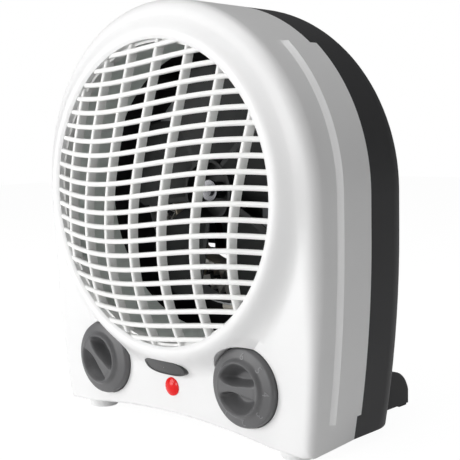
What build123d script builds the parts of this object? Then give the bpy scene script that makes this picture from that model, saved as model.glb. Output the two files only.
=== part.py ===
"""Upright domestic fan heater: white front shell, charcoal rear shell, domed wave grille."""
import os
from math import asin, cos, degrees, hypot, pi, radians, sin, sqrt

from build123d import *

# Frame while modelling: X to the viewer's right, Y from the opening to the back, Z up from the floor.
# The front edge of the grille opening lies at Y = 0. Every piece is moved along Y once, when it is saved.

# Casing outline, seen from the front
OPENING_HEIGHT = 133.0
OPENING_RADIUS = 82.0
CASING_RADIUS = 103.2
SIDE_STRAIGHT = 20.0
SIDE_CURVE_RADIUS = 622.0
BASE_HEIGHT = 6.0
ARCH_RISE = 5.5
ARCH_HALF_SPAN = 90.0
WALL = 2.4

# Casing, seen from the side
FACE_Y_AT_CENTRE = 6.5
FACE_LEAN = 2.4
SEAM_Y = 51.0
REAR_Y = 95.0
FRONT_ROUNDING = 8.5
REAR_ROUNDING = 22.0

# Raised side panels, shared by both shells
PANEL_HEIGHT = 2.3
PANEL_FRONT_Y = 26.0
PANEL_REAR_Y = 71.0
PANEL_BOTTOM = 19.5
PANEL_TOP = 210.0

# Ring round the opening
RING_CREST_RADIUS = 85.2
RING_CREST_Y = -1.6
COLLAR_DEPTH = 8.0

# Domed wave grille
DOME_SAG = 15.5
BAR_COUNT_EACH_SIDE = 10
BAR_PITCH = 7.8
BAR_HEIGHT = 2.7
BAR_DEPTH = 3.0
BAR_WAVE = 3.7
BAR_HALF_WAVE = 100.0
BAR_WAVE_START = 15.0
BAR_RISE = 1.4
RIB_PITCH = 21.5
RIB_WAVE = 6.6
RIB_HALF_WAVE = 112.0
RIB_WAVE_START = 6.0
RIB_COUNT_EACH_SIDE = 3
RIB_WIDTH = 2.6
RIB_DEPTH = 5.0

# Controls
KNOB_X = 55.8
KNOB_Z = OPENING_HEIGHT - 97.8
KNOB_RADIUS = 20.3
KNOB_FRONT_Y = 7.8
KNOB_BACK_Y = 14.4
POCKET_RADIUS = 21.5
POCKET_FLOOR_Y = 15.2
POCKET_BACK_Y = 17.2
SHAFT_RADIUS = 3.0
LAMP_Z = OPENING_HEIGHT - 106.7
LAMP_RADIUS = 5.1
BADGE_Z = OPENING_HEIGHT - 95.0
BADGE_WIDTH = 31.0
BADGE_HEIGHT = 7.0

# Duct and fan
DUCT_REAR_Y = 40.0
DUCT_REAR_RADIUS = 79.8
DUCT_WALL = 1.7
FAN_FRONT_Y = 41.5
FAN_BACK_Y = 54.5
FAN_RADIUS = 70.0
HUB_RADIUS = 18.0
BLADE_COUNT = 5

# Heating element
ELEMENT_FRONT_Y = 57.0
ELEMENT_BACK_Y = 69.0
ELEMENT_INNER_RADIUS = 44.0
HOOP_RADIUS = 66.5
RIBBON_RADII = (51.0, 60.0)
RIBBON_WAVES = 60

# Motor
MOTOR_SHAFT_RADIUS = 2.0
STACK_FRONT_Y = 64.0
STACK_BACK_Y = 82.0
ROTOR_RADIUS = 13.5
AIR_GAP = 0.5
MOUNT_FRONT_Y = 88.5
MOUNT_BACK_Y = 90.0

# Stand
FOOT_X = 77.5
FOOT_Y = 25.0
FOOT_PEG_RADIUS = 3.0
LEG_X = 62.0
LEG_WIDTH = 14.0
LEG_TIP_Y = 140.5
LEG_TOP = 27.0
LEG_BOTTOM = 1.4
INTAKE_RADIUS = 72.0
CORD_X = -30.0
CORD_Z = 24.0
CORD_BUSH_RADIUS = 6.0
CORD_BORE_RADIUS = 3.8

FRONT_MOST_Y = -DOME_SAG
DEPTH_MIDDLE = (FRONT_MOST_Y + LEG_TIP_Y) / 2


def save(name, solid):
    """Write one node, with the frame's origin at the middle of the depth."""
    export_step(Pos(0, -DEPTH_MIDDLE, 0) * solid, f"parts/{name}.step")


def block(x0, x1, y0, y1, z0, z1):
    """Box between two corners."""
    middle = ((x0 + x1) / 2, (y0 + y1) / 2, (z0 + z1) / 2)
    return Pos(*middle) * Box(x1 - x0, y1 - y0, z1 - z0)


def disc(radius, y0, y1, x=0.0, z=OPENING_HEIGHT):
    """Cylinder along Y."""
    return Pos(x, (y0 + y1) / 2, z) * Rot(X=90) * Cylinder(radius, y1 - y0)


def tube(outer, inner, y0, y1, x=0.0, z=OPENING_HEIGHT):
    """Round sleeve along Y."""
    return disc(outer, y0, y1, x, z) - disc(inner, y0 - 1, y1 + 1, x, z)


def upright(sketch, y0, y1):
    """Extrude a front-view sketch from y0 back to y1."""
    return Pos(0, y1, 0) * Rot(X=90) * extrude(sketch, y1 - y0)


def turned(points, x=0.0, z=OPENING_HEIGHT):
    """Revolve a (radius, y) outline of straight edges about an axis along Y."""
    profile = make_face(Polyline(*points, close=True))
    return Pos(x, 0, z) * revolve(profile, Axis.Y)


def outline(inset=0.0):
    """Front-view outline of the casing, open-ended downwards past the base."""
    radius = CASING_RADIUS - inset
    curve = SIDE_CURVE_RADIUS - inset
    shoulder = OPENING_HEIGHT - SIDE_STRAIGHT
    low = -10.0
    drop = asin((shoulder - low) / curve)
    foot_x = radius - curve * (1 - cos(drop))
    middle_x = radius - curve * (1 - cos(drop / 2))
    middle_z = shoulder - curve * sin(drop / 2)
    right = ThreePointArc((radius, shoulder), (middle_x, middle_z), (foot_x, low))
    left = ThreePointArc((-radius, shoulder), (-middle_x, middle_z), (-foot_x, low))
    top = ThreePointArc(
        (radius, OPENING_HEIGHT), (0, OPENING_HEIGHT + radius), (-radius, OPENING_HEIGHT)
    )
    edges = [
        top,
        Line((-radius, OPENING_HEIGHT), (-radius, shoulder)),
        left,
        Line((-foot_x, low), (foot_x, low)),
        right,
        Line((radius, shoulder), (radius, OPENING_HEIGHT)),
    ]
    return make_face(edges)


def arch(inset=0.0):
    """Long shallow arch that the base is cut by, along the whole depth."""
    radius = (ARCH_HALF_SPAN**2 + ARCH_RISE**2) / (2 * ARCH_RISE)
    centre_z = BASE_HEIGHT + ARCH_RISE - radius
    return disc(radius + inset, -30, 150, 0, centre_z)


def face_cutter(inset=0.0):
    """Everything in front of the leaning face."""
    lean = Pos(0, FACE_Y_AT_CENTRE + inset, OPENING_HEIGHT) * Rot(X=FACE_LEAN)
    return lean * block(-150, 150, -60, 0, -180, 150)


def face_y(z):
    """Depth of the leaning face at a height."""
    return FACE_Y_AT_CENTRE + (OPENING_HEIGHT - z) * sin(radians(FACE_LEAN))


def rounded_body(inset, y0, y1, rounding, front):
    """Outline extruded between two depths, with its front or rear edge rounded."""
    body = upright(outline(inset), y0, y1)
    if front:
        body -= face_cutter(inset)
        end = body.faces().sort_by(Axis.Y)[0]
    else:
        end = body.faces().sort_by(Axis.Y)[-1]
    rim = [edge for edge in end.edges() if edge.center().Z > 0]
    return fillet(rim, rounding)


def side_panels(y0, y1, bevelled):
    """Raised panels on both sides, cut level at top and bottom."""
    raised = upright(outline(-PANEL_HEIGHT), y0, y1)
    if bevelled:
        front = raised.faces().sort_by(Axis.Y)[0]
        raised = chamfer([edge for edge in front.edges() if edge.center().Z > 0], PANEL_HEIGHT)
    panels = raised & block(-120, 120, y0, y1, PANEL_BOTTOM, PANEL_TOP)
    return panels - upright(outline(0.6), y0 - 1, y1 + 1)


def ring_outer():
    """Ring round the opening: rounded crest, then a flank that falls to the face."""
    crest = ThreePointArc((OPENING_RADIUS, 0.2), (RING_CREST_RADIUS, RING_CREST_Y), (89.0, 0.2))
    foot = [(99.0, 13.5), (OPENING_RADIUS, 13.5), (OPENING_RADIUS, 0.2)]
    flank = Polyline((89.0, 0.2), (94.0, 6.5), *foot)
    profile = make_face([crest, *flank.edges()])
    return Pos(0, 0, OPENING_HEIGHT) * revolve(profile, Axis.Y)


def ring_hollow():
    """Inside of the hollow ring."""
    return turned([(84.4, 30), (84.4, 2.2), (87.8, 2.2), (95.0, 12.2), (95.0, 30)])


def front_housing():
    """White front shell with the ring, knob pockets, lamp hole, bosses and raised panels."""
    outer = rounded_body(0, -20, SEAM_Y, FRONT_ROUNDING, True) + ring_outer()
    outer += side_panels(PANEL_FRONT_Y, SEAM_Y, True)
    outer -= arch()
    inner = rounded_body(WALL, -20, SEAM_Y + 1, FRONT_ROUNDING - WALL, True) + ring_hollow()
    inner -= arch(WALL)
    collar = tube(OPENING_RADIUS + WALL, OPENING_RADIUS, 0, COLLAR_DEPTH)
    shell = outer - (inner - collar)
    cups = disc(POCKET_RADIUS + 2, 0, POCKET_BACK_Y, KNOB_X, KNOB_Z)
    cups += disc(POCKET_RADIUS + 2, 0, POCKET_BACK_Y, -KNOB_X, KNOB_Z)
    shell += (cups & outer)
    shell += front_bosses() & outer
    shell -= disc(OPENING_RADIUS, -30, 30)
    shell -= disc(OPENING_RADIUS + WALL, COLLAR_DEPTH, 30)
    for x in (-KNOB_X, KNOB_X):
        shell -= disc(POCKET_RADIUS, -30, POCKET_FLOOR_Y, x, KNOB_Z)
        shell -= disc(SHAFT_RADIUS + 0.6, 0, 30, x, KNOB_Z)
    shell -= disc(LAMP_RADIUS + 0.1, 0, 30, 0, LAMP_Z)
    shell += badge_blank(6.0, 0.0) & outer
    shell -= badge_blank(1.7, 20.0)
    for side in (-1, 1):
        shell -= Pos(side * FOOT_X, FOOT_Y, 10) * Cylinder(FOOT_PEG_RADIUS, 20)
    return shell


def corner_bosses():
    """Centres of the four screw bosses that join the two shells."""
    reach = 93.0 / sqrt(2)
    top = OPENING_HEIGHT + reach
    return [(-reach, top), (reach, top), (-84.0, 22.0), (84.0, 22.0)]


def duct_bosses():
    """Centres of the four pillars that carry the duct."""
    spots = []
    for angle in (20, 160, 200, 340):
        spots.append((87.6 * cos(radians(angle)), OPENING_HEIGHT + 87.6 * sin(radians(angle))))
    return spots


def front_bosses():
    """Screw bosses inside the front shell."""
    bosses = Part()
    for x, z in corner_bosses():
        bosses += disc(5.0, 0, SEAM_Y - 0.2, x, z) - disc(1.5, 30, 60, x, z)
    for x, z in duct_bosses():
        bosses += disc(3.4, 0, DUCT_REAR_Y - 1.5, x, z) - disc(1.4, 25, 60, x, z)
    return bosses


def badge_blank(back, front):
    """Rounded blank at the badge place, from so far behind its face to so far in front of it."""
    plate = extrude(SlotOverall(BADGE_WIDTH, BADGE_HEIGHT), back + front)
    return Pos(0, 7.4, BADGE_Z) * Rot(X=90 + 14) * Pos(0, 0, -back) * plate


def badge_plate():
    """Plain oval plate, left bare."""
    return badge_blank(1.7, -0.1)


def dome_shell(front, back):
    """Slice of the grille's dome between two depths behind its front surface."""
    radius = (OPENING_RADIUS**2 + DOME_SAG**2) / (2 * DOME_SAG)
    centre_y = radius - DOME_SAG
    ball = Pos(0, centre_y, OPENING_HEIGHT) * (Sphere(radius - front) - Sphere(radius - back))
    return ball & disc(OPENING_RADIUS, -DOME_SAG - 1, 9)


def wave_strip(middle, width, swing, half_wave, start):
    """Front-view outline of a strip that waves about a line at a distance from the centre."""
    half = sqrt(OPENING_RADIUS**2 - max(abs(middle) - swing, 0) ** 2) + 2
    along = [-half + half * step / 4 for step in range(9)]
    centre = [(place, middle + swing * sin(pi * (place - start) / half_wave)) for place in along]
    lower = Spline(*[(place, offset - width / 2) for place, offset in centre])
    upper = Spline(*[(place, offset + width / 2) for place, offset in reversed(centre)])
    ends = [Line(lower @ 1, upper @ 0), Line(upper @ 1, lower @ 0)]
    return make_face([lower, upper, *ends])


def wave_bar(row):
    """Outline of one bar, which waves up and down across the opening."""
    middle = row * BAR_PITCH + BAR_RISE
    return wave_strip(middle, BAR_HEIGHT, BAR_WAVE, BAR_HALF_WAVE, BAR_WAVE_START)


def wave_rib(column):
    """Outline of one rib, which waves to both sides down the opening."""
    strip = wave_strip(-column * RIB_PITCH, RIB_WIDTH, -RIB_WAVE, RIB_HALF_WAVE, RIB_WAVE_START)
    return Rot(Z=90) * strip


def front_grille():
    """Domed grille: bars that wave across it, deeper ribs that wave down it, one hidden rim."""
    bars = Part()
    for row in range(-BAR_COUNT_EACH_SIDE, BAR_COUNT_EACH_SIDE + 1):
        bars += Pos(0, 0, OPENING_HEIGHT) * upright(wave_bar(row), -20, 10)
    bars &= dome_shell(0, BAR_DEPTH)
    ribs = Part()
    for column in range(-RIB_COUNT_EACH_SIDE, RIB_COUNT_EACH_SIDE + 1):
        ribs += Pos(0, 0, OPENING_HEIGHT) * upright(wave_rib(column), -20, 10)
    ribs &= dome_shell(1.2, 1.2 + RIB_DEPTH)
    rim = tube(OPENING_RADIUS, OPENING_RADIUS - 1.4, 3.0, COLLAR_DEPTH)
    return bars + ribs + rim


def knob(angle):
    """Control knob: dished face with a raised lip and a waisted grip bar at an angle."""
    body = disc(KNOB_RADIUS, KNOB_FRONT_Y, KNOB_BACK_Y, 0, 0)
    body = fillet(body.faces().sort_by(Axis.Y)[0].edges(), 1.2)
    body += tube(12.9, 11.6, KNOB_FRONT_Y - 0.7, KNOB_FRONT_Y + 1, 0, 0)
    body -= disc(11.6, KNOB_FRONT_Y - 1, KNOB_FRONT_Y + 3.8, 0, 0)
    waist = RadiusArc((-12.5, 3.3), (12.5, 3.3), 60)
    under = RadiusArc((12.5, -3.3), (-12.5, -3.3), 60)
    grip = make_face([waist, Line(waist @ 1, under @ 0), under, Line(under @ 1, waist @ 0)])
    grip = upright(grip, KNOB_FRONT_Y - 1.4, KNOB_FRONT_Y + 4)
    body += grip & disc(12.4, KNOB_FRONT_Y - 2, KNOB_BACK_Y, 0, 0)
    body -= tube(KNOB_RADIUS - 1.8, 5.5, KNOB_BACK_Y - 2.2, KNOB_BACK_Y + 1, 0, 0)
    body -= disc(SHAFT_RADIUS, KNOB_BACK_Y - 2.4, KNOB_BACK_Y + 1, 0, 0)
    return Rot(Y=angle) * body


def control_shaft(x):
    """Shaft from the knob's back into the control behind it."""
    return disc(SHAFT_RADIUS, KNOB_BACK_Y - 2.4, POCKET_BACK_Y + 6, x, KNOB_Z)


def control_body(x, width, height, depth):
    """Control housing behind a knob pocket, bored for its shaft."""
    front = POCKET_BACK_Y
    box = Pos(x, front + depth / 2, KNOB_Z) * Box(width, depth, height)
    return box - disc(SHAFT_RADIUS + 0.06, front - 1, front + 8, x, KNOB_Z)


def thermostat_frame():
    """Ceramic block and plate of the room thermostat."""
    return control_body(KNOB_X, 18, 26, 14)


def thermostat_blade():
    """Bimetal blade with its contact, cantilevered behind the thermostat."""
    blade = block(KNOB_X - 4, KNOB_X + 4, 34.2, 35.0, KNOB_Z - 12, KNOB_Z + 16)
    post = block(KNOB_X - 4, KNOB_X + 4, POCKET_BACK_Y + 14, 34.2, KNOB_Z - 12, KNOB_Z - 7)
    contact = disc(1.8, 32.6, 34.2, KNOB_X, KNOB_Z + 12)
    return blade + post + contact


def selector_switch():
    """Rotary switch with three terminals."""
    switch = control_body(-KNOB_X, 26, 24, 16)
    rear = POCKET_BACK_Y + 16
    for offset in (-8, 0, 8):
        x = -KNOB_X + offset
        switch += block(x - 2.4, x + 2.4, rear, rear + 7, KNOB_Z - 0.4, KNOB_Z + 0.4)
    return switch


def indicator_lens():
    """Domed red lens with a collar behind the face."""
    face = face_y(LAMP_Z)
    lens = disc(LAMP_RADIUS, face - 0.6, face + 5, 0, LAMP_Z)
    dome = Pos(0, face + 7.2, LAMP_Z) * Sphere(9.3)
    lens += dome & disc(LAMP_RADIUS, face - 3, face, 0, LAMP_Z)
    lens += disc(LAMP_RADIUS + 1.2, face + 2.9, face + 5, 0, LAMP_Z)
    return lens - disc(3.2, face + 1.5, face + 6, 0, LAMP_Z)


def neon_lamp():
    """Small neon glow lamp inside the lens."""
    face = face_y(LAMP_Z)
    return disc(3.2, face + 2.0, face + 16, 0, LAMP_Z)


def air_duct():
    """Round duct between the collar and the fan, with a screw flange."""
    rear_out = DUCT_REAR_RADIUS + DUCT_WALL
    front_in = OPENING_RADIUS - 0.3
    front_out = front_in + DUCT_WALL
    wall = turned([
        (front_in, COLLAR_DEPTH),
        (front_out, COLLAR_DEPTH),
        (rear_out, DUCT_REAR_Y),
        (DUCT_REAR_RADIUS, DUCT_REAR_Y),
    ])
    flange = tube(91.5, DUCT_REAR_RADIUS + 1, DUCT_REAR_Y - 1.5, DUCT_REAR_Y)
    for x, z in duct_bosses():
        flange -= disc(1.5, 30, 60, x, z)
    for x, z in corner_bosses()[:2]:
        flange -= disc(5.6, 30, 60, x, z)
    return wall + flange


def blade_section(reach, chord, pitch):
    """Thin blade section square to the radius."""
    section = Rectangle(chord, 1.8)
    return Plane(origin=(0, 0, reach), z_dir=(0, 0, 1)) * Rot(Z=pitch) * section


def fan_impeller():
    """Plastic impeller: open hub cup with a centre boss and broad twisted blades."""
    middle = (FAN_FRONT_Y + FAN_BACK_Y) / 2
    stations = [(12, 24, 32), (40, 48, 15), (75, 72, 9)]
    twist = loft([blade_section(*station) for station in stations], ruled=True)
    petal = upright(Pos(0, 42) * Ellipse(27, 33), FAN_FRONT_Y + 0.5, FAN_BACK_Y - 0.5)
    petal = Pos(0, -middle, 0) * petal
    root = block(-9, 9, FAN_FRONT_Y + 0.5 - middle, FAN_BACK_Y - 0.5 - middle, 10, 30)
    blade = twist & (petal + root) & (Rot(X=90) * Cylinder(FAN_RADIUS, 30))
    blade -= Rot(X=90) * Cylinder(HUB_RADIUS - 1, 30)
    fan = tube(HUB_RADIUS, HUB_RADIUS - 1.8, FAN_FRONT_Y, FAN_BACK_Y)
    fan += disc(HUB_RADIUS, FAN_BACK_Y - 2, FAN_BACK_Y)
    fan += disc(4.8, FAN_FRONT_Y + 3, FAN_BACK_Y)
    for number in range(BLADE_COUNT):
        fan += Pos(0, middle, OPENING_HEIGHT) * Rot(Y=360 / BLADE_COUNT * number) * blade
    return fan - disc(MOTOR_SHAFT_RADIUS, 30, 60)


def fan_retainer():
    """Pressed steel retaining cap on the end of the shaft."""
    cap = disc(6.0, FAN_FRONT_Y + 1.6, FAN_FRONT_Y + 3)
    cap += disc(3.2, FAN_FRONT_Y, FAN_FRONT_Y + 1.6)
    return cap - disc(MOTOR_SHAFT_RADIUS, FAN_FRONT_Y + 1, FAN_FRONT_Y + 4)


def motor_shaft():
    """Steel shaft through fan, bushes and rotor."""
    return disc(MOTOR_SHAFT_RADIUS, FAN_FRONT_Y + 1, 91.0)


def motor_rotor():
    """Cage rotor with its end rings."""
    rotor = disc(ROTOR_RADIUS, STACK_FRONT_Y, STACK_BACK_Y)
    rotor += disc(12, STACK_FRONT_Y - 1.5, STACK_BACK_Y + 1.5)
    return rotor - disc(MOTOR_SHAFT_RADIUS, 60, 90)


def stator_stack():
    """Laminated core of the shaded-pole motor, with its rotor bore and coil window."""
    core = block(-22, 22, STACK_FRONT_Y, STACK_BACK_Y, OPENING_HEIGHT - 33, OPENING_HEIGHT + 19)
    core -= disc(ROTOR_RADIUS + AIR_GAP, STACK_FRONT_Y - 1, STACK_BACK_Y + 1)
    core -= block(-13, 13, 60, 90, OPENING_HEIGHT - 26, OPENING_HEIGHT - 17)
    for x in (-18, 18):
        core -= disc(1.6, 60, 90, x)
    return core


def stator_limb():
    """Room for the limb that the coil is wound round."""
    return block(-30, 30, STACK_FRONT_Y, STACK_BACK_Y, OPENING_HEIGHT - 33, OPENING_HEIGHT - 26)


def coil_bobbin():
    """Plastic bobbin round the lower limb."""
    bobbin = block(-12.6, 12.6, 62.8, 83.2, OPENING_HEIGHT - 34.2, OPENING_HEIGHT - 24.8)
    for x in (-12.6, 11.6):
        bobbin += block(x, x + 1, 60, 86, OPENING_HEIGHT - 39, OPENING_HEIGHT - 17.4)
    return bobbin - stator_limb()


def motor_coil():
    """Winding on the bobbin."""
    coil = block(-11.5, 11.5, 60.6, 85.4, OPENING_HEIGHT - 38.4, OPENING_HEIGHT - 18)
    return coil - block(-20, 20, 62.8, 83.2, OPENING_HEIGHT - 34.2, OPENING_HEIGHT - 24.8)


def bearing_bracket(face, outward):
    """Pressed bearing bracket with two feet on the core; outward is -1 in front and 1 behind."""
    far = face + outward * 6.5
    near = face + outward * 5.0
    bracket = block(-21, 21, min(near, far), max(near, far), OPENING_HEIGHT - 8, OPENING_HEIGHT + 8)
    for x in (-21, 15):
        foot = block(x, x + 6, min(face, far), max(face, far), OPENING_HEIGHT - 8, OPENING_HEIGHT + 8)
        bracket += foot
    bracket += disc(6.2, min(face + outward * 2.5, far), max(face + outward * 2.5, far))
    bracket -= disc(4.4, 50, 100)
    for x in (-18, 18):
        bracket -= disc(1.6, 50, 100, x)
    return bracket


def bearing_bushes():
    """Sintered bushes that the shaft runs in."""
    front = tube(4.4, MOTOR_SHAFT_RADIUS + 0.05, STACK_FRONT_Y - 6.5, STACK_FRONT_Y - 2.5)
    rear = tube(4.4, MOTOR_SHAFT_RADIUS + 0.05, STACK_BACK_Y + 2.5, STACK_BACK_Y + 6.5)
    return front + rear


def motor_mount():
    """Flat steel bar across the back that carries motor and heater."""
    bar = block(-86, 86, MOUNT_FRONT_Y, MOUNT_BACK_Y, OPENING_HEIGHT - 10, OPENING_HEIGHT + 10)
    bar += disc(24, MOUNT_FRONT_Y, MOUNT_BACK_Y)
    bar -= disc(6.5, 80, 100)
    for x in (-18, 18):
        bar -= disc(1.6, 80, 100, x)
    for x in (-80, 80):
        bar -= disc(1.8, 80, 100, x)
    return bar


def motor_screws():
    """Two long screws through brackets, core and mount, with nuts behind."""
    screws = Part()
    for x in (-18, 18):
        screws += disc(1.5, STACK_FRONT_Y - 7.5, MOUNT_BACK_Y + 2.2, x)
        screws += disc(2.8, STACK_FRONT_Y - 8.4, STACK_FRONT_Y - 6.5, x)
        screws += disc(2.7, MOUNT_BACK_Y, MOUNT_BACK_Y + 1.8, x)
    return screws


def mount_screws():
    """Screws that hold the mount on the rear shell."""
    screws = Part()
    for x in (-80, 80):
        screws += disc(1.7, MOUNT_FRONT_Y, REAR_Y - 1.4, x)
        screws += disc(3.2, MOUNT_FRONT_Y - 1.6, MOUNT_FRONT_Y, x)
    return screws


def heater_hoop():
    """Steel hoop round the element, with two straps back to the mount."""
    hoop = tube(HOOP_RADIUS + 1.0, HOOP_RADIUS, ELEMENT_FRONT_Y, ELEMENT_BACK_Y)
    for side in (-1, 1):
        inner = side * HOOP_RADIUS
        outer = side * (HOOP_RADIUS + 1.4)
        low = min(inner, outer)
        high = max(inner, outer)
        hoop += block(low, high, ELEMENT_BACK_Y - 8, MOUNT_FRONT_Y, OPENING_HEIGHT - 6, OPENING_HEIGHT + 6)
    return hoop - disc(HOOP_RADIUS, ELEMENT_FRONT_Y - 1, ELEMENT_BACK_Y + 1)


def heater_boards():
    """Mica boards that carry the ribbons, set like spokes in the hoop."""
    boards = Part()
    for number in range(6):
        board = block(-0.5, 0.5, ELEMENT_FRONT_Y, ELEMENT_BACK_Y, ELEMENT_INNER_RADIUS, HOOP_RADIUS)
        boards += Pos(0, 0, OPENING_HEIGHT) * Rot(Y=60 * number + 30) * board
    ring = tube(ELEMENT_INNER_RADIUS + 1, ELEMENT_INNER_RADIUS, ELEMENT_FRONT_Y, ELEMENT_BACK_Y)
    boards = (boards + ring) & disc(HOOP_RADIUS, ELEMENT_FRONT_Y, ELEMENT_BACK_Y)
    for radius in RIBBON_RADII:
        boards -= tube(radius + 3.2, radius - 3.2, ELEMENT_FRONT_Y + 3, ELEMENT_BACK_Y - 3)
    return boards


def ribbon(radius):
    """Crimped resistance ribbon bent into a ring."""
    outer = []
    inner = []
    for step in range(2 * RIBBON_WAVES):
        angle = pi * step / RIBBON_WAVES
        wave = 2.4 if step % 2 else -2.4
        outer.append(((radius + wave + 0.25) * cos(angle), (radius + wave + 0.25) * sin(angle)))
        inner.append(((radius + wave - 0.25) * cos(angle), (radius + wave - 0.25) * sin(angle)))
    ring = make_face(Polyline(*outer, close=True)) - make_face(Polyline(*inner, close=True))
    return Pos(0, 0, OPENING_HEIGHT) * upright(ring, ELEMENT_FRONT_Y + 3, ELEMENT_BACK_Y - 3)


def heater_ribbons():
    """Inner and outer heating rings."""
    return ribbon(RIBBON_RADII[0]) + ribbon(RIBBON_RADII[1])


def thermal_cutout():
    """Resetting cut-out on top of the hoop."""
    base = OPENING_HEIGHT + HOOP_RADIUS + 0.5
    can = Pos(0, 63, base + 2.6) * Cylinder(7.5, 5.2)
    for x in (-10, 6):
        can += block(x, x + 4, 60.5, 65.5, base + 2.5, base + 3.3)
    return can - disc(HOOP_RADIUS + 1.0, 50, 75)


def thermal_fuse():
    """One-shot fuse in a sleeve under the hoop."""
    base = OPENING_HEIGHT - HOOP_RADIUS - 0.6
    fuse = Pos(0, 63, base - 2.4) * Rot(Y=90) * Cylinder(2.4, 16)
    return fuse - disc(HOOP_RADIUS + 1.0, 50, 75)


def rear_outer():
    """Solid form of the rear shell."""
    body = rounded_body(0, SEAM_Y, REAR_Y, REAR_ROUNDING, False)
    return body + side_panels(SEAM_Y, PANEL_REAR_Y, False) - arch()


def rear_housing():
    """Charcoal rear shell with its intake opening, posts, screw wells and cord inlet."""
    outer = rear_outer()
    inner = rounded_body(WALL, SEAM_Y - 1, REAR_Y - WALL, REAR_ROUNDING - WALL, False)
    shell = outer - (inner - arch(WALL))
    tongue = upright(outline(WALL + 0.2), SEAM_Y - 4, SEAM_Y)
    tongue += upright(outline(WALL - 0.5), SEAM_Y, SEAM_Y + 3)
    shell += tongue - upright(outline(WALL + 1.8), 40, 60) - arch(WALL + 0.2)
    for x, z in corner_bosses():
        shell += disc(5.4, SEAM_Y, REAR_Y, x, z) & outer
        shell -= disc(3.6, SEAM_Y + 7, REAR_Y + 1, x, z)
        shell -= disc(1.7, SEAM_Y - 10, REAR_Y, x, z)
        shell -= disc(5.1, SEAM_Y - 10, SEAM_Y, x, z)
    for x in (-80, 80):
        shell += disc(5.0, MOUNT_BACK_Y, REAR_Y - WALL + 0.5, x)
        shell -= disc(1.8, MOUNT_FRONT_Y, REAR_Y - 1.2, x)
    shell -= disc(INTAKE_RADIUS, REAR_Y - WALL - 1, REAR_Y + 1)
    shell -= disc(CORD_BUSH_RADIUS, REAR_Y - WALL - 1, REAR_Y + 1, CORD_X, CORD_Z)
    for side in (-1, 1):
        shell -= disc(1.6, REAR_Y - WALL - 1, REAR_Y + 1, side * LEG_X, LEG_TOP - 6)
    return shell


def intake_grille():
    """Round slotted insert in the back of the rear shell."""
    radius = INTAKE_RADIUS - 0.15
    plate = Circle(radius)
    for row in range(-8, 9):
        half = sqrt(65.0**2 - (row * 7.6) ** 2)
        if half > 8:
            plate -= Pos(0, row * 7.6) * SlotOverall(2 * half, 4.2)
    for x in (-32, 0, 32):
        plate += Rectangle(3, 132).moved(Location((x, 0, 0))) & Circle(66)
    face = Pos(0, 0, OPENING_HEIGHT) * upright(plate, REAR_Y - 2.0, REAR_Y)
    return face


def cord_bush():
    """Bush that lines the cord inlet."""
    bush = disc(CORD_BUSH_RADIUS - 0.02, REAR_Y - WALL - 3, REAR_Y + 1.5, CORD_X, CORD_Z)
    bush += disc(CORD_BUSH_RADIUS + 2, REAR_Y, REAR_Y + 1.5, CORD_X, CORD_Z)
    return bush - disc(CORD_BORE_RADIUS, 80, 110, CORD_X, CORD_Z)


def rear_leg(side):
    """Hooked stand leg behind the rear shell."""
    back = REAR_Y
    top = Line((back, LEG_TOP), (back + 29, LEG_TOP - 4))
    bow = ThreePointArc(top @ 1, (LEG_TIP_Y - 4.5, LEG_TOP - 9.5), (LEG_TIP_Y, 9.5))
    rest = Polyline(bow @ 1, (LEG_TIP_Y, LEG_BOTTOM), (back + 3, LEG_BOTTOM), (back, 6.5), (back, LEG_TOP))
    profile = make_face([top, bow, *rest.edges()])
    leg = Plane.YZ * profile
    leg = Pos(side * LEG_X - LEG_WIDTH / 2, 0, 0) * extrude(leg, LEG_WIDTH)
    hollow = block(-LEG_WIDTH / 2 + 2, LEG_WIDTH / 2 - 2, back + 3, LEG_TIP_Y - 9, 0, 10)
    leg -= Pos(side * LEG_X, 0, 0) * hollow
    peg = disc(1.5, back - 5, back + 4, side * LEG_X, LEG_TOP - 6)
    return leg + peg


def leg_pads():
    """Rubber pads under the tips of the legs."""
    pads = Part()
    for side in (-1, 1):
        x = side * LEG_X
        pads += block(x - 6, x + 6, LEG_TIP_Y - 8, LEG_TIP_Y - 0.5, 0, LEG_BOTTOM)
    return pads


def front_feet():
    """Short round front feet pushed up into the base."""
    feet = Part()
    upwards = (Align.CENTER, Align.CENTER, Align.MIN)
    for side in (-1, 1):
        place = Pos(side * FOOT_X, FOOT_Y, 0)
        feet += (place * Cone(8.4, 10.6, 9.0, align=upwards)) & arch()
        feet += place * Cylinder(FOOT_PEG_RADIUS, 11.5, align=upwards)
    return feet


def terminal_block():
    """Two-way terminal block on the floor of the rear shell."""
    body = block(-16, 16, 62, 74, 12, 26) - arch(WALL)
    for x in (-8, 8):
        body -= Pos(x, 68, 24) * Cylinder(2.4, 12)
    return body


def casing_screws():
    """Four screws that pull the shells together."""
    screws = Part()
    for x, z in corner_bosses():
        screws += disc(1.45, SEAM_Y - 14, SEAM_Y + 7, x, z)
        screws += disc(3.2, SEAM_Y + 7, SEAM_Y + 9.4, x, z)
    return screws


def duct_screws():
    """Four screws that hold the duct's flange."""
    screws = Part()
    for x, z in duct_bosses():
        screws += disc(1.35, DUCT_REAR_Y - 12, DUCT_REAR_Y, x, z)
        screws += disc(2.8, DUCT_REAR_Y, DUCT_REAR_Y + 1.6, x, z)
    return screws


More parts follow.
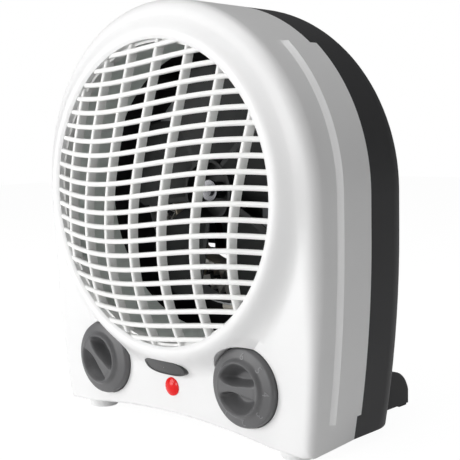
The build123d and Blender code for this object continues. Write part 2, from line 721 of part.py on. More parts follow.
def build():
    """Make and save every node."""
    os.makedirs("parts", exist_ok=True)
    save("front_housing", front_housing())
    save("front_grille", front_grille())
    save("badge_plate", badge_plate())
    save("indicator_lens", indicator_lens())
    save("indicator_lamp", neon_lamp())
    save("air_duct", air_duct())
    save("duct_screws", duct_screws())
    save("rear_housing", rear_housing())
    save("intake_grille", intake_grille())
    save("casing_screws", casing_screws())
    save("cord_inlet", cord_bush())
    save("front_feet", front_feet())
    save("rear_leg_left", rear_leg(-1))
    save("rear_leg_right", rear_leg(1))
    save("rear_leg_pads", leg_pads())
    save("thermostat_knob", Pos(KNOB_X, 0, KNOB_Z) * knob(0))
    save("thermostat_shaft", control_shaft(KNOB_X))
    save("thermostat_body", thermostat_frame())
    save("thermostat_bimetal", thermostat_blade())
    save("selector_knob", Pos(-KNOB_X, 0, KNOB_Z) * knob(50))
    save("selector_shaft", control_shaft(-KNOB_X))
    save("selector_switch", selector_switch())
    save("fan_impeller", fan_impeller())
    save("fan_retainer", fan_retainer())
    save("motor_shaft", motor_shaft())
    save("motor_rotor", motor_rotor())
    save("stator_core", stator_stack())
    save("coil_bobbin", coil_bobbin())
    save("motor_coil", motor_coil())
    save("front_bearing_bracket", bearing_bracket(STACK_FRONT_Y, -1))
    save("rear_bearing_bracket", bearing_bracket(STACK_BACK_Y, 1))
    save("bearing_bushes", bearing_bushes())
    save("motor_mount", motor_mount())
    save("motor_screws", motor_screws())
    save("mount_screws", mount_screws())
    save("heater_hoop", heater_hoop())
    save("heater_boards", heater_boards())
    save("heater_ribbons", heater_ribbons())
    save("thermal_cutout", thermal_cutout())
    save("thermal_fuse", thermal_fuse())
    save("terminal_block", terminal_block())


build()
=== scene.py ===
from math import asin, copysign, cos, hypot, pi, radians, sin, sqrt

import bmesh
import bpy
from mathutils import Matrix, Vector


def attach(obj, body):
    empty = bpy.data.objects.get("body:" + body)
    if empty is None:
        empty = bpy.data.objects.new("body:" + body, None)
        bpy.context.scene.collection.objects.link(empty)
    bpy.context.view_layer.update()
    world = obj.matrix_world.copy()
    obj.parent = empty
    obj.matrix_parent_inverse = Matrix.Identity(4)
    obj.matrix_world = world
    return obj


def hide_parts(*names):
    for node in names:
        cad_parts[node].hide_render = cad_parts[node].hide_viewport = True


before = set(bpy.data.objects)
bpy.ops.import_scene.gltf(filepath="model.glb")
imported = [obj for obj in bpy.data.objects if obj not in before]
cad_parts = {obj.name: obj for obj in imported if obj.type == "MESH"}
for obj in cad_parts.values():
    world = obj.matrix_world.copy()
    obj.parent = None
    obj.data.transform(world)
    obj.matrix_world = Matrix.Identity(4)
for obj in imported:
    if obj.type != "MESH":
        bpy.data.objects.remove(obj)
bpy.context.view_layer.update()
bpy.ops.object.select_all(action="DESELECT")

# The heater's own frame is in millimetres, with its depth counted from a datum plane near the
# opening's front edge. DATUM_Y is that plane in the part's frame, in metres; the grille faces -Y.
DATUM_Y = -0.0625


# Materials. Each finish is a small node graph: a colour with a slight change over the surface,
# a roughness that varies with it, and a fine bump at the scale of a moulding's or metal's grain.
def finish_material(name, colour, roughness, grain=None, mottle=0.03, metal=0.0, spec=0.5):
    """Procedural finish: mottled colour, uneven roughness and grain = (scale, height in metres)."""
    material = bpy.data.materials.new(name)
    material.use_nodes = True
    tree = material.node_tree
    shader = tree.nodes["Principled BSDF"]
    shader.inputs["Metallic"].default_value = metal
    shader.inputs["Specular IOR Level"].default_value = spec
    place = tree.nodes.new("ShaderNodeTexCoord")
    broad = tree.nodes.new("ShaderNodeTexNoise")
    broad.inputs["Scale"].default_value = 28.0
    broad.inputs["Detail"].default_value = 4.0
    tree.links.new(place.outputs["Object"], broad.inputs["Vector"])
    tint = tree.nodes.new("ShaderNodeMix")
    tint.data_type = "RGBA"
    tint.inputs["A"].default_value = (*[channel * (1 - mottle) for channel in colour], 1)
    tint.inputs["B"].default_value = (*[min(1, channel * (1 + mottle)) for channel in colour], 1)
    tree.links.new(broad.outputs["Fac"], tint.inputs["Factor"])
    tree.links.new(tint.outputs["Result"], shader.inputs["Base Color"])
    uneven = tree.nodes.new("ShaderNodeMapRange")
    uneven.inputs["To Min"].default_value = roughness - 0.05
    uneven.inputs["To Max"].default_value = roughness + 0.05
    tree.links.new(broad.outputs["Fac"], uneven.inputs["Value"])
    tree.links.new(uneven.outputs["Result"], shader.inputs["Roughness"])
    if grain:
        fine = tree.nodes.new("ShaderNodeTexNoise")
        fine.inputs["Scale"].default_value = grain[0]
        fine.inputs["Detail"].default_value = 3.0
        tree.links.new(place.outputs["Object"], fine.inputs["Vector"])
        bump = tree.nodes.new("ShaderNodeBump")
        bump.inputs["Distance"].default_value = grain[1]
        bump.inputs["Strength"].default_value = 0.6
        tree.links.new(fine.outputs["Fac"], bump.inputs["Height"])
        tree.links.new(bump.outputs["Normal"], shader.inputs["Normal"])
    return material


def brushed_material(name, colour, roughness, direction):
    """Metal with fine lines across one axis."""
    material = finish_material(name, colour, roughness, None, 0.05, 1.0)
    tree = material.node_tree
    shader = tree.nodes["Principled BSDF"]
    place = tree.nodes.new("ShaderNodeTexCoord")
    stretch = tree.nodes.new("ShaderNodeMapping")
    stretch.inputs["Scale"].default_value = direction
    lines = tree.nodes.new("ShaderNodeTexNoise")
    lines.inputs["Scale"].default_value = 60.0
    lines.inputs["Detail"].default_value = 3.0
    bump = tree.nodes.new("ShaderNodeBump")
    bump.inputs["Distance"].default_value = 0.0001
    bump.inputs["Strength"].default_value = 0.5
    tree.links.new(place.outputs["Object"], stretch.inputs["Vector"])
    tree.links.new(stretch.outputs["Vector"], lines.inputs["Vector"])
    tree.links.new(lines.outputs["Fac"], bump.inputs["Height"])
    tree.links.new(bump.outputs["Normal"], shader.inputs["Normal"])
    return material


white_satin = finish_material("white satin moulding", (0.86, 0.86, 0.86), 0.38, (2600, 0.00004), 0.012)
grille_white = finish_material("white grille moulding", (0.88, 0.88, 0.87), 0.40, (2400, 0.00004), 0.012)
# The duct's darker grey-green colour is painted shade: it is the same white plastic as the casing,
# tinted as it looks in shade inside the opening.
duct_painted_shade = finish_material("duct moulding, painted shade", (0.79, 0.84, 0.81), 0.45, (1800, 0.00005), 0.03)
charcoal = finish_material(
    "charcoal textured moulding", (0.041, 0.041, 0.043), 0.60, (1900, 0.00012), 0.08, spec=0.22
)
knob_grey = finish_material("grey knob moulding", (0.110, 0.110, 0.113), 0.44, (2400, 0.00008), 0.05)
digit_grey = finish_material("raised numbers", (0.20, 0.20, 0.205), 0.45, (2400, 0.00004), 0.05)
plate_black = finish_material("plate", (0.030, 0.030, 0.032), 0.30, (1500, 0.00004), 0.08)
fan_grey = finish_material("fan moulding", (0.013, 0.014, 0.014), 0.45, (1200, 0.00005), 0.10, spec=0.3)
rubber = finish_material("rubber", (0.018, 0.018, 0.018), 0.75, (1600, 0.0001), 0.12)
ceramic = finish_material("natural moulding", (0.72, 0.68, 0.60), 0.50, (1500, 0.00006), 0.05)
mica = finish_material("mica sheet", (0.50, 0.44, 0.34), 0.35, (700, 0.0001), 0.20)
zinc = brushed_material("zinc plated steel", (0.42, 0.43, 0.44), 0.36, (1, 1, 14))
ground_steel = brushed_material("ground steel", (0.66, 0.66, 0.67), 0.22, (1, 12, 1))
dark_nut = brushed_material("blackened hub cap", (0.16, 0.16, 0.17), 0.18, (1, 10, 1))
core_steel = brushed_material("laminated core", (0.28, 0.29, 0.30), 0.45, (1, 30, 1))
cast_alloy = brushed_material("cast rotor", (0.60, 0.60, 0.61), 0.40, (1, 20, 1))
copper = brushed_material("enamelled winding", (0.13, 0.055, 0.03), 0.40, (26, 1, 1))
bronze = brushed_material("sintered bronze", (0.52, 0.36, 0.19), 0.55, (2, 2, 2))
brass = brushed_material("contact brass", (0.70, 0.54, 0.26), 0.30, (1, 1, 10))
ribbon_metal = brushed_material("heating ribbon", (0.80, 0.78, 0.74), 0.28, (1, 8, 1))

lamp_red = finish_material("red lens", (0.66, 0.004, 0.004), 0.24, None, 0.06, spec=0.25)
lens_shader = lamp_red.node_tree.nodes["Principled BSDF"]
lens_shader.inputs["Emission Color"].default_value = (1.0, 0.01, 0.01, 1)
lens_shader.inputs["Emission Strength"].default_value = 0.16
lens_shader.inputs["Coat Weight"].default_value = 0.10
lens_shader.inputs["Coat Roughness"].default_value = 0.05
lamp_glass = finish_material("lamp glass", (0.95, 0.78, 0.62), 0.08, None, 0.04)
lamp_glass.node_tree.nodes["Principled BSDF"].inputs["Transmission Weight"].default_value = 0.8

# CAD nodes that are shown as they are. Their meshes are kept and only get their finish
# and smooth shading, so every screw, bracket and board sits where the real assembly has it.
NODE_FINISH = {
    "air_duct": duct_painted_shade,
    "badge_plate": plate_black,
    "bearing_bushes": bronze,
    "casing_screws": zinc,
    "coil_bobbin": rubber,
    "cord_inlet": rubber,
    "duct_screws": zinc,
    "fan_impeller": fan_grey,
    "fan_retainer": dark_nut,
    "front_bearing_bracket": zinc,
    "front_feet": white_satin,
    "front_grille": grille_white,
    "front_housing": white_satin,
    "heater_boards": mica,
    "heater_hoop": zinc,
    "heater_ribbons": ribbon_metal,
    "indicator_lamp": lamp_glass,
    "indicator_lens": lamp_red,
    "intake_grille": charcoal,
    "motor_coil": copper,
    "motor_mount": zinc,
    "motor_rotor": cast_alloy,
    "motor_screws": zinc,
    "motor_shaft": ground_steel,
    "mount_screws": zinc,
    "rear_bearing_bracket": zinc,
    "rear_housing": charcoal,
    "rear_leg_left": charcoal,
    "rear_leg_pads": rubber,
    "rear_leg_right": charcoal,
    "selector_knob": knob_grey,
    "selector_shaft": ceramic,
    "selector_switch": ceramic,
    "stator_core": core_steel,
    "terminal_block": ceramic,
    "thermal_cutout": zinc,
    "thermal_fuse": ceramic,
    "thermostat_bimetal": brass,
    "thermostat_body": ceramic,
    "thermostat_knob": knob_grey,
    "thermostat_shaft": ceramic,
}
for node_name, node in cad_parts.items():
    node.data.materials.clear()
    node.data.materials.append(NODE_FINISH[node_name])
    bpy.context.view_layer.objects.active = node
    node.select_set(True)
    bpy.ops.object.shade_smooth_by_angle(angle=radians(28))
    node.select_set(False)


def wrapped_grid(name, columns, rows, place, closed=True):
    """Grid primitive whose vertices are drawn out to place(column, row), in the heater's frame."""
    bpy.ops.mesh.primitive_grid_add(x_subdivisions=columns, y_subdivisions=rows - 1, size=2)
    piece = bpy.context.active_object
    piece.name = name
    for vertex in piece.data.vertices:
        column = round((vertex.co.x + 1) / 2 * columns)
        row = round((vertex.co.y + 1) / 2 * (rows - 1))
        x, y, z = place(column % columns if closed else column, row)
        vertex.co = (x / 1000, y / 1000 + DATUM_Y, z / 1000)
    bpy.ops.object.mode_set(mode="EDIT")
    bpy.ops.mesh.select_all(action="SELECT")
    bpy.ops.mesh.remove_doubles(threshold=0.000001)
    bpy.ops.mesh.normals_make_consistent(inside=False)
    bpy.ops.object.mode_set(mode="OBJECT")
    return piece


def finish_piece(piece, material, body, angle=35):
    """Smooth shading, finish, material slot and the body that carries the piece."""
    piece.data.materials.clear()
    piece.data.materials.append(material)
    bpy.ops.object.select_all(action="DESELECT")
    bpy.context.view_layer.objects.active = piece
    piece.select_set(True)
    bpy.ops.object.shade_smooth_by_angle(angle=radians(angle))
    bpy.ops.object.select_all(action="DESELECT")
    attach(piece, body)


def knife_hole(piece, x, z, radius, sides):
    """Round hole through an open surface: a drill's wall is knifed in, and what lies inside goes."""
    bpy.ops.mesh.primitive_cylinder_add(
        vertices=sides, radius=radius, depth=0.05, end_fill_type="NOTHING",
        rotation=(pi / 2, 0, 0), location=(x, DATUM_Y + 0.005, z),
    )
    drill = bpy.context.active_object
    first = len(piece.data.polygons)
    bpy.context.view_layer.objects.active = piece
    piece.select_set(True)
    drill.select_set(True)
    bpy.ops.object.join()
    bpy.ops.object.mode_set(mode="EDIT")
    bpy.context.tool_settings.mesh_select_mode = (False, False, True)
    surface = bmesh.from_edit_mesh(piece.data)
    for face in surface.faces:
        face.select_set(face.index >= first)
    surface.select_flush_mode()
    bmesh.update_edit_mesh(piece.data)
    bpy.ops.mesh.intersect(mode="SELECT_UNSELECT", separate_mode="CUT", solver="EXACT")
    surface = bmesh.from_edit_mesh(piece.data)
    for face in surface.faces:
        centre = face.calc_center_median()
        face.select_set(hypot(centre.x - x, centre.z - z) < radius)
    bmesh.update_edit_mesh(piece.data)
    bpy.ops.mesh.delete(type="FACE")
    bpy.ops.mesh.select_all(action="SELECT")
    bpy.ops.mesh.remove_doubles(threshold=0.000002)
    bpy.context.tool_settings.mesh_select_mode = (True, False, False)
    bpy.ops.object.mode_set(mode="OBJECT")


def smooth_step(value):
    """0 below 0, 1 above 1, and a soft rise between them."""
    value = min(max(value, 0.0), 1.0)
    return value * value * (3 - 2 * value)


# Front shell. The real piece is one white moulding: a face that leans back towards the bottom,
# a soft ring round the opening with a valley outside it, rounded shoulders, and side walls with
# a raised panel that run back to the seam. Lengths in this section are in millimetres.
OPENING_R = 82.0
CENTRE_Z = 133.0
CASING_R = 103.2
SIDE_CURVE = 622.0
SEAM_Y = 51.0
STRAIGHT_Z = 113.0
CREST_R = 85.2
VALLEY_R = 89.0
KNOB_X = 55.8
KNOB_Z = 35.2
POCKET_R = 21.5


def half_width(z, raised=0.0):
    """Half of the casing's width at a height."""
    if z >= CENTRE_Z:
        return sqrt(max((CASING_R + raised) ** 2 - (z - CENTRE_Z) ** 2, 0.0))
    if z >= STRAIGHT_Z:
        return CASING_R + raised
    return CASING_R + raised - SIDE_CURVE * (1 - cos(asin((STRAIGHT_Z - z) / SIDE_CURVE)))


def base_height(x):
    """Height of the arched base."""
    return sqrt(739.1**2 - x * x) - 727.6


def foot_height(x):
    """Height of the front's own lower edge: level ends beside an arch of 140 mm."""
    if abs(x) > 70.0:
        return 4.5 - 0.03 * (abs(x) - 70.0)
    return 10.7 - 398.3 + sqrt(398.3**2 - x * x)


def settled(x, y, z):
    """Point of the shell with the fuller lower edge of its front, which dies away at the seam."""
    forward = 1 - min(max(y, 0.0), SEAM_Y) / SEAM_Y
    if z < STRAIGHT_Z:
        x *= 1 + 0.021 * forward * ((STRAIGHT_Z - z) / 107.5) ** 2
    near_base = max(1 - (z - base_height(x)) / 25.0, 0.0) ** 2
    return (x, y, z - forward * near_base * (base_height(x) - foot_height(x)))


def rounding(gap, radius):
    """How far a rounded edge has fallen back at a distance inside the outline."""
    if gap >= radius:
        return 0.0
    return radius - sqrt(max(radius**2 - (radius - max(gap, 0.0)) ** 2, 0.0))


def front_depth(x, z):
    """Depth of the front surface: the softer minimum of the ring and the rounded face."""
    reach = hypot(x, z - CENTRE_Z)
    side_gap = CASING_R - reach if z >= CENTRE_Z else half_width(z) - abs(x)
    base_gap = z - base_height(x)
    side_radius = 8.5 - 3.5 * smooth_step((110.0 - z) / 70.0)
    face = 6.5 + (CENTRE_Z - z) * 0.0419 + max(rounding(side_gap, side_radius), rounding(base_gap, 1.2))
    out = reach - VALLEY_R
    if out > 0:
        ring = 0.2 + 0.95 * out + 0.05 * out * out
    elif reach > CREST_R:
        ring = -1.6 + 0.125 * (reach - CREST_R) ** 2
    else:
        ring = -1.6 + 0.176 * (reach - CREST_R) ** 2
    blend_width = 8.0
    near = max(blend_width - abs(ring - face), 0.0) / blend_width
    return min(ring, face) - near * near * blend_width / 4


edge_points = []
for step in range(28):
    x = 93.84 * step / 28
    edge_points.append((x, base_height(x), 0))
for z in (5.52, 8, 11, 15, 19.4):
    edge_points.append((half_width(z), z, 0))
for z in (19.5, 24, 30, 38, 46, 54, 62, 70, 78, 86, 94, 102, 108, 113, 118, 123, 128, 133):
    edge_points.append((half_width(z), z, 1))
for step in range(1, 20):
    z = min(CENTRE_Z + CASING_R * sin(radians(48.25) * step / 19), 210.0)
    edge_points.append((half_width(z), z, 1))
for step in range(19):
    angle = radians(48.4 + 41.6 * step / 18)
    edge_points.append((CASING_R * cos(angle), CENTRE_Z + CASING_R * sin(angle), 0))
edge_points += [(-x, z, raised) for x, z, raised in reversed(edge_points[1:-1])]
RING_RADII = (82.0, 82.05, 82.4, 83.0, 84.0, 85.2, 86.4, 87.6, 88.8, 90.0, 91.2, 92.4, 93.6)
SHOULDER_GAPS = (8.4, 7.2, 5.8, 4.6, 3.5, 2.6, 1.9, 1.3, 0.8, 0.45, 0.2, 0.05, 0.0)
WALL_DEPTHS = (18.0, 22.0, 25.9, 26.2, 28.5, 32.0, 38.0, 45.0, 50.6, SEAM_Y)


def shell_place(column, row):
    """Point of the front shell: collar, ring, face and shoulder, then the side wall."""
    edge_x, edge_z, raised = edge_points[column]
    distance = hypot(edge_x, edge_z - CENTRE_Z)
    if row < 2:
        across = edge_x / distance * OPENING_R
        up = (edge_z - CENTRE_Z) / distance * OPENING_R
        return (across, (8.0, 1.2)[row], CENTRE_Z + up)
    row -= 2
    if row < len(RING_RADII):
        reach = RING_RADII[row]
    elif row < len(RING_RADII) + 8:
        share = (row - len(RING_RADII) + 1) / 9
        reach = 93.6 + (distance - 8.4 - 93.6) * share
    elif row < len(RING_RADII) + 8 + len(SHOULDER_GAPS):
        reach = distance - SHOULDER_GAPS[row - len(RING_RADII) - 8]
    else:
        step = row - len(RING_RADII) - 8 - len(SHOULDER_GAPS)
        y = max(WALL_DEPTHS[step], front_depth(edge_x, edge_z) + 0.4 * (step + 1))
        lift = 2.3 * min(max((y - 26.0) / 2.5, 0.0), 1.0) * raised
        wide = half_width(edge_z, lift) if raised else abs(edge_x)
        return settled(wide if edge_x > 0 else -wide, y, edge_z)
    x = edge_x / distance * reach
    z = CENTRE_Z + (edge_z - CENTRE_Z) / distance * reach
    return settled(x, front_depth(x, z), z)


shell_rows = 2 + len(RING_RADII) + 8 + len(SHOULDER_GAPS) + len(WALL_DEPTHS)
front_shell = wrapped_grid("front_shell", len(edge_points), shell_rows, shell_place)
face_out = sum(face.normal.y * face.area for face in front_shell.data.polygons)
if face_out > 0:
    front_shell.data.flip_normals()
knife_hole(front_shell, KNOB_X / 1000, KNOB_Z / 1000, POCKET_R / 1000, 128)
knife_hole(front_shell, -KNOB_X / 1000, KNOB_Z / 1000, POCKET_R / 1000, 128)
knife_hole(front_shell, 0.0, 0.0263, 0.0052, 48)
wall = front_shell.modifiers.new("wall", "SOLIDIFY")
wall.thickness = 0.0022
wall.offset = -1
bpy.ops.object.modifier_apply(modifier="wall")

# Knob pockets: the cups behind the two round openings, moulded in one with the front shell.
for x in (-KNOB_X, KNOB_X):

    def cup_place(column, row):
        """Point of a pocket's cup, whose front edge follows the face."""
        angle = 2 * pi * column / 96
        reach = (3.6, 23.4, 23.4, POCKET_R, POCKET_R, 3.6, 3.6)[row]
        px = x + reach * cos(angle)
        pz = KNOB_Z + reach * sin(angle)
        lip = front_depth(x + 22 * cos(angle), KNOB_Z + 22 * sin(angle)) + 0.5
        return (px, (17.2, 17.2, lip + 0.6, lip, 15.2, 15.2, 17.2)[row], pz)

    cup = wrapped_grid("pocket_cup", 96, 7, cup_place)
    cup.select_set(True)
    front_shell.select_set(True)
    bpy.context.view_layer.objects.active = front_shell
    bpy.ops.object.join()
finish_piece(front_shell, white_satin, "casing", 30)
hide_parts("front_housing")


# Grille. The real one is a domed moulding of slim bars that wave across the opening, with
# deeper ribs behind them that wave down it, and a thin rim that snaps into the collar.
DOME_R = 224.65
DOME_CENTRE_Y = 209.15
BAR_PITCH, BAR_SWING = 7.8, 3.7
RIB_PITCH, RIB_SWING = 21.5, 6.6
STATIONS = 40


def dome_depth(x, z):
    """Depth of the dome's front surface, z from the opening's centre."""
    return DOME_CENTRE_Y - sqrt(DOME_R**2 - x * x - z * z)


def strip_line(wave, middle):
    """Stations of a waving strip, whose ends are buried in the ring."""
    inside = [t / 10 for t in range(-845, 846) if hypot(t / 10, wave(middle, t / 10)) < 84.4]
    low, high = inside[0], inside[-1]
    return [low + (high - low) * step / STATIONS for step in range(STATIONS + 1)]


def bar_wave(middle, x):
    """Height of a bar's middle line."""
    return middle + BAR_SWING * sin(pi * (x - 15) / 100)


def rib_wave(middle, z):
    """Sideways place of a rib's middle line."""
    return middle + RIB_SWING * sin(pi * (z - 6) / 112)


BAR_SECTION = ((0.0, -0.55), (0.0, 0.55), (0.25, 1.0), (0.8, 1.32), (1.6, 1.38), (3.0, 1.15),
               (3.0, -1.15), (1.6, -1.38), (0.8, -1.32), (0.25, -1.0))
RIB_SECTION = ((1.0, -0.5), (1.0, 0.5), (1.25, 0.95), (1.9, 1.2), (6.2, 1.45),
               (6.2, -1.45), (1.9, -1.2), (1.25, -0.95))
strips = []
for row_number in range(-10, 11):
    middle = row_number * BAR_PITCH + 1.4
    line = strip_line(bar_wave, middle)

    def bar_place(column, row):
        """Point of one bar: its section carried along the wave and set on the dome."""
        back, up = BAR_SECTION[column]
        z = bar_wave(middle, line[row])
        return (line[row], dome_depth(line[row], z) + back, CENTRE_Z + z + up)

    strips.append(wrapped_grid("bar", len(BAR_SECTION), len(line), bar_place))
for column_number in range(-3, 4):
    middle = column_number * RIB_PITCH
    line = strip_line(rib_wave, middle)

    def rib_place(column, row):
        """Point of one rib."""
        back, aside = RIB_SECTION[column]
        x = rib_wave(middle, line[row])
        return (x + aside, dome_depth(x, line[row]) + back, CENTRE_Z + line[row])

    strips.append(wrapped_grid("rib", len(RIB_SECTION), len(line), rib_place))
for strip in strips:
    bpy.ops.object.select_all(action="DESELECT")
    bpy.context.view_layer.objects.active = strip
    strip.select_set(True)
    bpy.ops.object.mode_set(mode="EDIT")
    bpy.ops.mesh.select_all(action="DESELECT")
    bpy.ops.mesh.select_non_manifold()
    bpy.ops.mesh.edge_face_add()
    bpy.ops.mesh.select_all(action="SELECT")
    bpy.ops.mesh.normals_make_consistent(inside=False)
    bpy.ops.object.mode_set(mode="OBJECT")


def rim_place(column, row):
    """Point of the rim that seats in the collar."""
    angle = 2 * pi * column / 160
    reach, y = ((80.7, 3.2), (81.95, 3.0), (81.95, 8.0), (80.7, 8.0), (80.7, 3.2))[row]
    return (reach * cos(angle), y, CENTRE_Z + reach * sin(angle))


strips.append(wrapped_grid("rim", 160, 5, rim_place))
bpy.ops.object.select_all(action="DESELECT")
for strip in strips:
    strip.select_set(True)
bpy.context.view_layer.objects.active = strips[0]
bpy.ops.object.join()
grille = bpy.context.active_object
grille.name = "wave_grille"
finish_piece(grille, grille_white, "casing", 50)
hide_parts("front_grille")


# Knobs. Each is a dished grey moulding: a sloping skirt, a raised lip, and a grip bar between
# two scoops. The right one carries plain numbers on its skirt, the left one is bare.
KNOB_R = 21.0
LIP_R = 13.7
KNOB_STEPS = 46
SKIRT_SLOPE = 0.34


def knob_depth(reach, along, across):
    """Depth of a knob's front from its own axes, the grip bar lying along the first."""
    skirt = 5.0 + SKIRT_SLOPE * max(reach - 14.4, 0.0) + rounding(KNOB_R - reach, 1.2)
    lip = 2.0 * smooth_step(1 - abs(reach - LIP_R) / 2.2)
    scoop = 6.4 * smooth_step((13.2 - reach) / 6.0)
    waist = 1.5 + 1.7 * (along / 12) ** 2 + 0.35 * sin(along / 3.2)
    grip = 1 - smooth_step((abs(across) - waist) / 2.6)
    crown = 2.1 * smooth_step((LIP_R - reach) / 2.5)
    return skirt - lip + (1 - grip) * scoop - grip * crown


KNOB_RADII = [KNOB_R * step / KNOB_STEPS for step in range(1, KNOB_STEPS + 1)]
KNOB_BACK = ((KNOB_R, 12.2), (20.6, 14.4), (18.5, 14.4), (0.01, 14.4))
for label, x, turn, body in (
    ("thermostat_knob", KNOB_X, 0.0, "thermostat"),
    ("selector_knob", -KNOB_X, radians(-41), "selector"),
):

    def knob_place(column, row):
        """Point of a knob: its hub, the sculpted front, then the skirt's side and back."""
        angle = 2 * pi * column / 144
        if row == 0:
            reach, y = 0.01, knob_depth(0.0, 0.0, 0.0)
        elif row <= len(KNOB_RADII):
            reach = KNOB_RADII[row - 1]
            along = reach * cos(angle - turn)
            across = reach * sin(angle - turn)
            y = knob_depth(reach, along, across)
        else:
            reach, y = KNOB_BACK[row - len(KNOB_RADII) - 1]
        return (x + reach * cos(angle), y, KNOB_Z + reach * sin(angle))

    dial = wrapped_grid(label + "_moulding", 144, len(KNOB_RADII) + 5, knob_place)
    finish_piece(dial, knob_grey, body, 40)
    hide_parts(label)

DIGIT_REACH = 0.0171
digits = []
for number, degrees_round in (("6", 84), ("5", 42), ("4", 0), ("3", -42), ("2", -84), ("1", -126)):
    bpy.ops.object.text_add()
    digit = bpy.context.active_object
    digit.data.body = number
    digit.data.size = 0.0056
    digit.data.extrude = 0.00015
    digit.data.align_x = "CENTER"
    digit.data.align_y = "CENTER"
    bpy.ops.object.convert(target="MESH")
    angle = radians(degrees_round)
    place_x = KNOB_X / 1000 + DIGIT_REACH * cos(angle)
    place_z = KNOB_Z / 1000 + DIGIT_REACH * sin(angle)
    stand = Matrix.Translation((place_x, 0.00590 + DATUM_Y, place_z))
    outward = Matrix.Rotation(pi / 2 - angle, 4, "Y")
    digit.matrix_world = stand @ outward @ Matrix.Rotation(pi / 2 - 0.33, 4, "X")
    digits.append(digit)
bpy.ops.object.select_all(action="DESELECT")
for digit in digits:
    digit.select_set(True)
bpy.context.view_layer.objects.active = digits[0]
bpy.ops.object.join()
bpy.ops.object.transform_apply(location=True, rotation=True, scale=True)
numbers = bpy.context.active_object
numbers.name = "dial_numbers"
finish_piece(numbers, digit_grey, "thermostat", 30)

# Badge plate. A bare oval plate of dark plastic with a thin raised border, set on the slope below the
# ring, its outer edge sunk into the face there.
PLATE_Z = 38.2
PLATE_ROWS = ((0.02, 0.0), (0.45, 0.0), (0.86, 0.0), (0.88, 0.3), (0.97, 0.3), (1.0, 0.0), (1.0, -4.5))


def badge_place(column, row):
    """Point of the plate, from its middle out over the border to its buried edge."""
    angle = 2 * pi * column / 96
    share, lift = PLATE_ROWS[row]
    x = 15.4 * share * copysign(abs(cos(angle)) ** 0.72, cos(angle))
    z = PLATE_Z + 4.6 * share * copysign(abs(sin(angle)) ** 0.72, sin(angle))
    return (x, 4.6 + 0.004 * x * x - 0.62 * (z - PLATE_Z) - lift, z)


badge = wrapped_grid("bare_badge", 96, 7, badge_place)
finish_piece(badge, plate_black, "casing", 25)
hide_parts("badge_plate")

# Stage: a pale floor that keeps the object's shadow, and a plain white world behind it.
bpy.ops.mesh.primitive_plane_add(size=6, location=(0, 0, 0))
floor = bpy.context.active_object
floor.name = "floor"
floor_paint = bpy.data.materials.new("pale floor")
floor_paint.use_nodes = True
tree = floor_paint.node_tree
tree.nodes.clear()
output = tree.nodes.new("ShaderNodeOutputMaterial")
matt = tree.nodes.new("ShaderNodeBsdfDiffuse")
matt.inputs["Color"].default_value = (0.85, 0.85, 0.85, 1)
glow = tree.nodes.new("ShaderNodeEmission")
glow.inputs["Strength"].default_value = 1.10
blend = tree.nodes.new("ShaderNodeMixShader")
path = tree.nodes.new("ShaderNodeLightPath")
seen = tree.nodes.new("ShaderNodeMath")
seen.operation = "MAXIMUM"
tree.links.new(path.outputs["Is Camera Ray"], seen.inputs[0])
tree.links.new(path.outputs["Is Glossy Ray"], seen.inputs[1])
seen_too = tree.nodes.new("ShaderNodeMath")
seen_too.operation = "MAXIMUM"
tree.links.new(seen.outputs["Value"], seen_too.inputs[0])
tree.links.new(path.outputs["Is Transmission Ray"], seen_too.inputs[1])
share = tree.nodes.new("ShaderNodeMath")
share.operation = "MULTIPLY"
share.inputs[1].default_value = 0.87
tree.links.new(seen_too.outputs["Value"], share.inputs[0])
tree.links.new(share.outputs["Value"], blend.inputs["Fac"])
tree.links.new(matt.outputs["BSDF"], blend.inputs[1])
tree.links.new(glow.outputs["Emission"], blend.inputs[2])
tree.links.new(blend.outputs["Shader"], output.inputs["Surface"])
floor.data.materials.append(floor_paint)

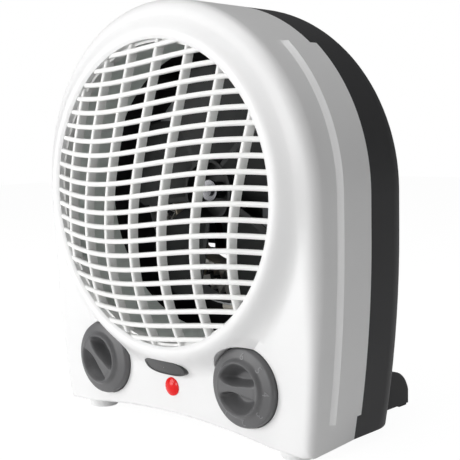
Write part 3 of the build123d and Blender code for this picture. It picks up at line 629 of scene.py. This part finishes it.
world = bpy.data.worlds.new("studio")
bpy.context.scene.world = world
world.use_nodes = True
tree = world.node_tree
tree.nodes.clear()
output = tree.nodes.new("ShaderNodeOutputWorld")
ambient = tree.nodes.new("ShaderNodeBackground")
ambient.inputs["Color"].default_value = (1, 1, 1, 1)
ambient.inputs["Strength"].default_value = 0.205
backdrop = tree.nodes.new("ShaderNodeBackground")
backdrop.inputs["Color"].default_value = (1, 1, 1, 1)
backdrop.inputs["Strength"].default_value = 1.0
path = tree.nodes.new("ShaderNodeLightPath")
seen = tree.nodes.new("ShaderNodeMath")
seen.operation = "MAXIMUM"
tree.links.new(path.outputs["Is Camera Ray"], seen.inputs[0])
tree.links.new(path.outputs["Is Transmission Ray"], seen.inputs[1])
mix = tree.nodes.new("ShaderNodeMixShader")
tree.links.new(seen.outputs["Value"], mix.inputs["Fac"])
tree.links.new(ambient.outputs["Background"], mix.inputs[1])
tree.links.new(backdrop.outputs["Background"], mix.inputs[2])
tree.links.new(mix.outputs["Shader"], output.inputs["Surface"])

# Lamps: one broad soft light from the front left, a smaller one from the front that lights the
# bevel of the side panel, a weak one above, and one behind on the right for the dark shell.
for name, place, target, size, watts in (
    ("front left softbox", (-0.70, -1.15, 0.36), (0, 0, 0.12), 0.7, 9.7),
    ("front softbox", (0.22, -1.62, 0.35), (0, 0, 0.12), 0.5, 6.3),
    ("overhead softbox", (0.10, -0.35, 1.5), (0, 0, 0.15), 0.9, 6.4),
    ("right rear strip", (1.3, 0.55, 0.45), (0.05, 0, 0.12), 0.5, 0.15),
):
    bpy.ops.object.light_add(type="AREA", location=place)
    lamp = bpy.context.active_object
    lamp.name = name
    lamp.data.size = size
    lamp.data.energy = watts
    lamp.rotation_euler = (Vector(target) - Vector(place)).to_track_quat("-Z", "Y").to_euler()

# Camera, fitted to the photograph's outlines.
yaw, pitch, roll = 0.758, 0.093, -0.020
forward = Vector((-sin(yaw) * cos(pitch), cos(yaw) * cos(pitch), -sin(pitch)))
level = Vector((cos(yaw), sin(yaw), 0))
upward = level.cross(forward)
right = level * cos(roll) + upward * sin(roll)
above = upward * cos(roll) - level * sin(roll)
bpy.ops.object.camera_add()
camera = bpy.context.active_object
camera.name = "camera"
camera.data.sensor_width = 36.0
camera.data.lens = 74.32
camera.data.clip_start = 0.01
turn = Matrix((right, above, -forward)).transposed()
camera.matrix_world = Matrix.Translation((0.37845, -0.40247, 0.16050)) @ turn.to_4x4()
bpy.context.scene.camera = camera
bpy.context.scene.view_settings.view_transform = "Standard"
